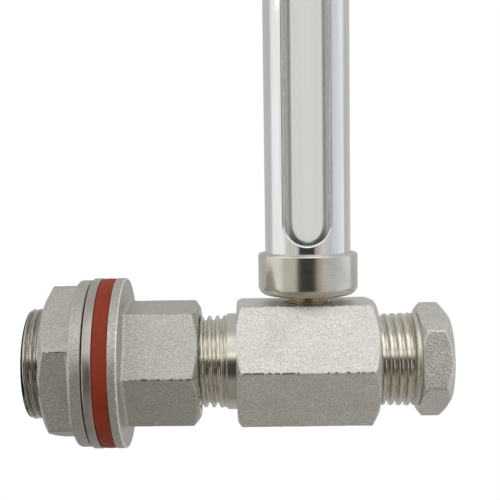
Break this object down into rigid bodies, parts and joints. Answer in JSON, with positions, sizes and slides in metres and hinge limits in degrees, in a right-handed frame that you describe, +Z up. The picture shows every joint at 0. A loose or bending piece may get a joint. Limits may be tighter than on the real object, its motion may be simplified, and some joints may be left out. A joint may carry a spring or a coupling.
{
  "type": "sight glass",
  "caption": "Tank sight glass: bulkhead fitting with gasket and lock nut, hex tee, end plug, and a clear tube in a slotted metal shield.",
  "frame": {"origin": "on the pipe axis, in the plane where the tank wall's outer surface meets the gasket", "axes": "+X along the pipe away from the tank, +Z up along the sight tube, -Y towards the viewer of the front slot"},
  "size_m": [0.0945, 0.0386, 0.1966],
  "materials": {
    "cast_steel": "investment-cast stainless steel, fine grain, machined threads",
    "machined_steel": "turned stainless steel",
    "satin_steel": "turned and satin-polished stainless steel",
    "polished_aluminium": "bright polished along its length",
    "brass": "machined brass",
    "red_silicone": "red-brown silicone, matt",
    "black_rubber": "black rubber",
    "clear_silicone": "translucent silicone",
    "ptfe": "white PTFE",
    "clear_tube": "clear extruded polycarbonate"
  },
  "bodies": {
    "fitting": {"bulkhead_body": "cast_steel", "tank_gasket": "red_silicone"},
    "washer": {"backing_washer": "machined_steel"},
    "nut": {"lock_nut": "cast_steel"},
    "tee_thread": {"tee_tape": "ptfe"},
    "tee": {"tee_body": "cast_steel"},
    "plug_thread": {"plug_tape": "ptfe"},
    "plug": {"end_plug": "cast_steel"},
    "stem_thread": {"stem_tape": "ptfe"},
    "cup": {"tube_cup": "satin_steel", "stem_nipple": "brass", "tube_seat": "clear_silicone", "lower_o_ring": "black_rubber", "middle_o_ring": "black_rubber"},
    "tube": {"sight_tube": "clear_tube"},
    "gland": {"gland_ring": "ptfe"},
    "shield": {"shield_tube": "polished_aluminium"},
    "cap": {"top_cap": "satin_steel", "upper_o_ring": "black_rubber", "cap_pad": "clear_silicone"}
  },
  "joints": [
    {"name": "nut_travel", "type": "slide", "parent": "fitting", "child": "washer", "axis": [-1, 0, 0], "range_m": [0, 0.0105]},
    {"name": "nut_turn", "type": "hinge", "parent": "washer", "child": "nut", "pos_m": [0, 0, 0], "axis": [-1, 0, 0], "range_deg": [0, 2520]},
    {"name": "tee_travel", "type": "slide", "parent": "fitting", "child": "tee_thread", "axis": [1, 0, 0], "range_m": [0, 0.01088]},
    {"name": "tee_turn", "type": "hinge", "parent": "tee_thread", "child": "tee", "pos_m": [0, 0, 0], "axis": [1, 0, 0], "range_deg": [0, 2160]},
    {"name": "plug_travel", "type": "slide", "parent": "tee", "child": "plug_thread", "axis": [1, 0, 0], "range_m": [0, 0.00907]},
    {"name": "plug_turn", "type": "hinge", "parent": "plug_thread", "child": "plug", "pos_m": [0, 0, 0], "axis": [1, 0, 0], "range_deg": [0, 1800]},
    {"name": "cup_travel", "type": "slide", "parent": "tee", "child": "stem_thread", "axis": [0, 0, 1], "range_m": [0, 0.00423]},
    {"name": "cup_turn", "type": "hinge", "parent": "stem_thread", "child": "cup", "pos_m": [0.0465, 0, 0], "axis": [0, 0, 1], "range_deg": [0, 1620]},
    {"name": "tube_lift", "type": "slide", "parent": "cup", "child": "tube", "axis": [0, 0, 1], "range_m": [0, 0.015]},
    {"name": "shield_turn", "type": "hinge", "parent": "tube", "child": "gland", "pos_m": [0.0465, 0, 0], "axis": [0, 0, 1], "continuous": true},
    {"name": "shield_lift", "type": "slide", "parent": "gland", "child": "shield", "axis": [0, 0, 1], "range_m": [0, 0.03]},
    {"name": "cap_pull", "type": "slide", "parent": "shield", "child": "cap", "axis": [0, 0, 1], "range_m": [0, 0.012]}
  ],
  "couplings": [
    {"joint": "nut_travel", "follows": "nut_turn", "m_per_rad": 0.00023873},
    {"joint": "tee_travel", "follows": "tee_turn", "m_per_rad": 0.00028871},
    {"joint": "plug_travel", "follows": "plug_turn", "m_per_rad": 0.00028871},
    {"joint": "cup_travel", "follows": "cup_turn", "m_per_rad": 0.00014961}
  ]
}
